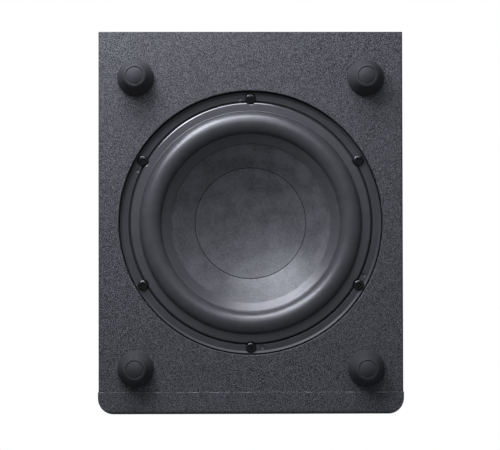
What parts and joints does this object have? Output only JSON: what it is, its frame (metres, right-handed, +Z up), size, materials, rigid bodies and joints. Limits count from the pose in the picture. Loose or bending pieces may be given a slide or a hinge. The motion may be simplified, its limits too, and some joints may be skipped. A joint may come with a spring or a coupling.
{
  "type": "subwoofer",
  "caption": "Down-firing active subwoofer: board cabinet on rubber feet, cone driver let into the underside, plate amplifier with controls and sockets in the back.",
  "frame": {"origin": "on the floor, at the middle of the footprint, under the driver's axis", "axes": "+Z up; the front panel faces -Y, the amplifier and its sockets face +Y, and +X is to the right seen from the front"},
  "size_m": [0.2628, 0.3315, 0.3804],
  "materials": {
    "cabinet_vinyl": "fine pebbled black vinyl on MDF",
    "front_vinyl": "finer satin black wrap on MDF",
    "raw_board": "bare MDF",
    "foot_rubber": "smooth moulded rubber",
    "zinc_steel": "zinc plated",
    "frame_paint": "satin black powder coat on pressed steel",
    "foam": "closed-cell foam",
    "black_screw": "black oxide, oiled",
    "trim_rubber": "matt moulded rubber",
    "surround_rubber": "butyl rubber with a soft sheen",
    "cone_paper": "coated pulp with faint fibres",
    "former_film": "amber polyimide film",
    "copper": "enamelled copper wire",
    "spider_cloth": "resin-treated cotton",
    "ferrite": "ground dark grey ferrite",
    "phenolic": "brown laminate",
    "brass_tab": "plain brass",
    "red_lead": "insulated stranded lead",
    "brown_lead": "insulated mains lead",
    "wadding": "loose polyester fibre",
    "plate_black": "black satin paint",
    "cover_steel": "galvanised",
    "black_rubber": "soft grommet rubber",
    "circuit_green": "solder-masked glass epoxy",
    "cap_sleeve": "shrink sleeve",
    "black_part": "moulded epoxy",
    "bare_aluminium": "extruded",
    "toroid_tape": "polyester tape over copper windings",
    "black_plastic": "fine-textured moulding",
    "rocker_plastic": "polished moulding",
    "pin_nickel": "nickel plated",
    "socket_red": "red moulding",
    "switch_steel": "pressed and plated",
    "lever_white": "plain moulding",
    "led_green": "translucent lens"
  },
  "bodies": {
    "cabinet": {"bottom_panel": "cabinet_vinyl", "top_panel": "cabinet_vinyl", "left_panel": "cabinet_vinyl", "right_panel": "cabinet_vinyl", "front_panel": "front_vinyl", "rear_panel": "cabinet_vinyl", "brace": "raw_board", "foot_front_left": "foot_rubber", "foot_front_right": "foot_rubber", "foot_rear_left": "foot_rubber", "foot_rear_right": "foot_rubber", "foot_studs": "zinc_steel", "driver_frame": "frame_paint", "driver_gasket": "foam", "driver_screws": "black_screw", "trim_ring": "trim_rubber", "top_plate": "zinc_steel", "magnet": "ferrite", "t_yoke": "zinc_steel", "terminal_strip": "phenolic", "terminal_tabs": "brass_tab", "tinsel_leads": "copper", "speaker_leads": "red_lead", "damping_wadding": "wadding", "amp_plate": "plate_black", "amp_gasket": "foam", "amp_screws": "black_screw", "amp_back_cover": "cover_steel", "cover_grommet": "black_rubber", "main_board": "circuit_green", "board_standoffs": "brass_tab", "capacitors": "cap_sleeve", "board_components": "black_part", "heatsink": "bare_aluminium", "transformer": "toroid_tape", "transformer_mount": "cover_steel", "mains_leads": "brown_lead", "power_inlet": "black_plastic", "inlet_pins": "pin_nickel", "rocker_housing": "black_plastic", "rca_block": "black_plastic", "rca_inserts": "socket_red", "rca_shells": "pin_nickel", "control_pots": "switch_steel", "pot_nuts": "zinc_steel", "slide_switch_bodies": "switch_steel", "status_led": "led_green"},
    "cone_assembly": {"surround": "surround_rubber", "cone": "cone_paper", "dust_cap": "cone_paper", "coil_former": "former_film", "voice_coil": "copper", "spider": "spider_cloth"},
    "volume_control": {"volume_knob": "black_plastic", "volume_shaft": "pin_nickel"},
    "crossover_control": {"crossover_knob": "black_plastic", "crossover_shaft": "pin_nickel"},
    "rocker": {"power_rocker": "rocker_plastic"},
    "phase_slider": {"phase_lever": "lever_white"},
    "auto_slider": {"auto_lever": "lever_white"}
  },
  "joints": [
    {"name": "cone_travel", "type": "slide", "parent": "cabinet", "child": "cone_assembly", "axis": [0, 0, 1], "range_m": [-0.008, 0.008], "stiffness_N_per_m": 2000, "deforming": ["surround", "spider", "tinsel_leads"]},
    {"name": "volume_turn", "type": "hinge", "parent": "cabinet", "child": "volume_control", "pos_m": [0.038, 0.1565, 0.29], "axis": [0, 1, 0], "range_deg": [-150, 150]},
    {"name": "crossover_turn", "type": "hinge", "parent": "cabinet", "child": "crossover_control", "pos_m": [-0.038, 0.1565, 0.29], "axis": [0, 1, 0], "range_deg": [-150, 150]},
    {"name": "rocker_tilt", "type": "hinge", "parent": "cabinet", "child": "rocker", "pos_m": [0.038, 0.154, 0.16], "axis": [1, 0, 0], "range_deg": [0, 16]},
    {"name": "phase_slide", "type": "slide", "parent": "cabinet", "child": "phase_slider", "axis": [1, 0, 0], "range_m": [0, 0.004]},
    {"name": "auto_slide", "type": "slide", "parent": "cabinet", "child": "auto_slider", "axis": [1, 0, 0], "range_m": [0, 0.004]}
  ]
}
